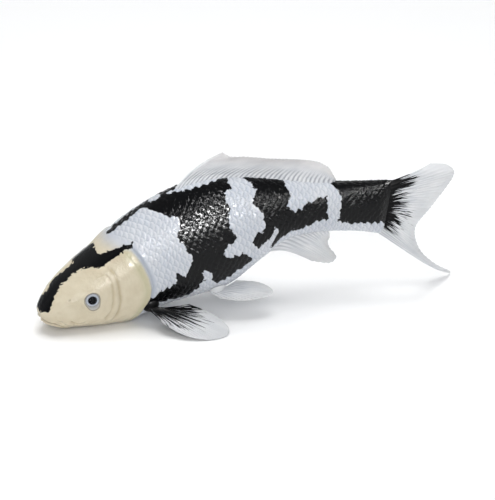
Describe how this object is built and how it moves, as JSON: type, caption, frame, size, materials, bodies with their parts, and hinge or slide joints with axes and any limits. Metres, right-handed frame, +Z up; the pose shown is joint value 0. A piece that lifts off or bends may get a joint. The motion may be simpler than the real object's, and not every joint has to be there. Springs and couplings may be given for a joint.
{
  "type": "koi carp figure",
  "caption": "Glossy moulded koi carp display figure, white with black patches, with a curved body, separate fins that turn on plugs and domed eyes.",
  "frame": {"origin": "middle of the bounding box at the surface the figure stands on", "axes": "+Z up; the snout points to -X and the tail to +X; the fish's left side faces -Y"},
  "size_m": [0.292, 0.1008, 0.107],
  "materials": {
    "painted_shell": "glossy painted PVC, white with black patches and a cream head",
    "fin_pvc": "semi-gloss translucent white PVC with dark strokes at the roots",
    "eye_white": "glossy silver-white bead with a black pupil",
    "clear_dome": "clear polished dome"
  },
  "bodies": {
    "body": {"left_body_shell": "painted_shell", "right_body_shell": "painted_shell", "dorsal_fin": "fin_pvc", "tail_fin": "fin_pvc", "anal_fin": "fin_pvc", "left_eye": "eye_white", "right_eye": "eye_white", "left_eye_lens": "clear_dome", "right_eye_lens": "clear_dome"},
    "left_pectoral": {"left_pectoral_fin": "fin_pvc"},
    "right_pectoral": {"right_pectoral_fin": "fin_pvc"},
    "left_pelvic": {"left_pelvic_fin": "fin_pvc"},
    "right_pelvic": {"right_pelvic_fin": "fin_pvc"}
  },
  "joints": [
    {"name": "left_pectoral_swivel", "type": "hinge", "parent": "body", "child": "left_pectoral", "pos_m": [-0.07549, -0.02224, 0.01511], "axis": [0.1643, -0.8623, -0.4789], "range_deg": [-20, 40]},
    {"name": "right_pectoral_swivel", "type": "hinge", "parent": "body", "child": "right_pectoral", "pos_m": [-0.07793, 0.01843, 0.01511], "axis": [-0.0752, -0.8771, 0.4743], "range_deg": [-20, 40]},
    {"name": "left_pelvic_swivel", "type": "hinge", "parent": "body", "child": "left_pelvic", "pos_m": [-0.03069, -0.01831, 0.02005], "axis": [0.1642, -0.663, -0.7304], "range_deg": [-20, 30]},
    {"name": "right_pelvic_swivel", "type": "hinge", "parent": "body", "child": "right_pelvic", "pos_m": [-0.02832, 0.01098, 0.02005], "axis": [-0.2724, -0.6277, 0.7293], "range_deg": [-20, 30]}
  ]
}
